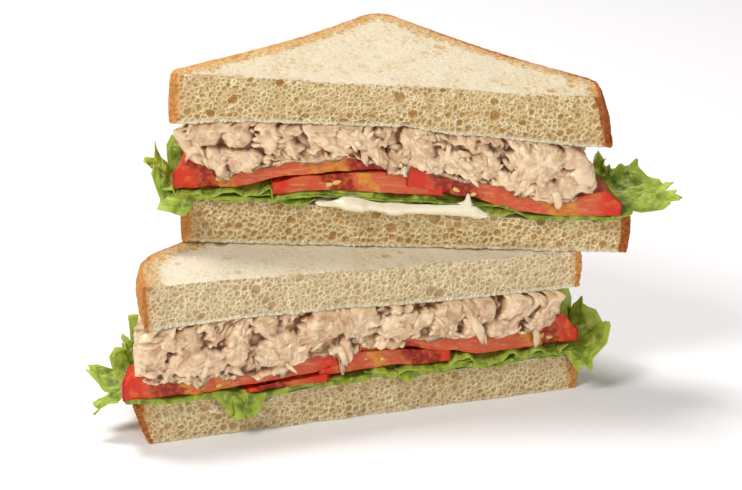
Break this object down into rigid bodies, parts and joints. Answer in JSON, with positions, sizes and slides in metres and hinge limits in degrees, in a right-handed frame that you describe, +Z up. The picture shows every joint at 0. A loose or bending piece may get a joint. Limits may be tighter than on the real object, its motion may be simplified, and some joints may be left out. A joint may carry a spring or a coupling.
{
  "type": "chicken salad sandwich",
  "caption": "Chicken salad sandwich on thick white bread with tomato and lettuce, cut corner to corner, one triangular half laid on the other.",
  "frame": {"origin": "on the table, under the middle of the stack's bounding box", "axes": "+X to the right along the cut faces seen from the front, +Y back from the cut faces towards the crust corners, +Z up"},
  "size_m": [0.192, 0.1192, 0.1152],
  "materials": {
    "bread": "matte open crumb with a thin brown crust; plastic stands in for bread",
    "lettuce": "satin leaf with paler veins; plastic stands in for leaf",
    "tomato": "wet flesh with a glossy skin; plastic stands in for tomato",
    "chicken": "moist flakes in a creamy dressing; plastic stands in for meat",
    "mayonnaise": "glossy cream; plastic stands in for mayonnaise"
  },
  "bodies": {
    "root": {"lower_bottom_slice": "bread", "lower_top_slice": "bread", "upper_bottom_slice": "bread", "upper_top_slice": "bread", "lower_lettuce": "lettuce", "upper_lettuce": "lettuce", "lower_tomato_1": "tomato", "lower_tomato_2": "tomato", "lower_tomato_3": "tomato", "lower_tomato_4": "tomato", "lower_tomato_5": "tomato", "upper_tomato_1": "tomato", "upper_tomato_2": "tomato", "upper_tomato_3": "tomato", "upper_tomato_4": "tomato", "lower_chicken": "chicken", "upper_chicken": "chicken", "upper_mayonnaise": "mayonnaise"}
  },
  "joints": []
}
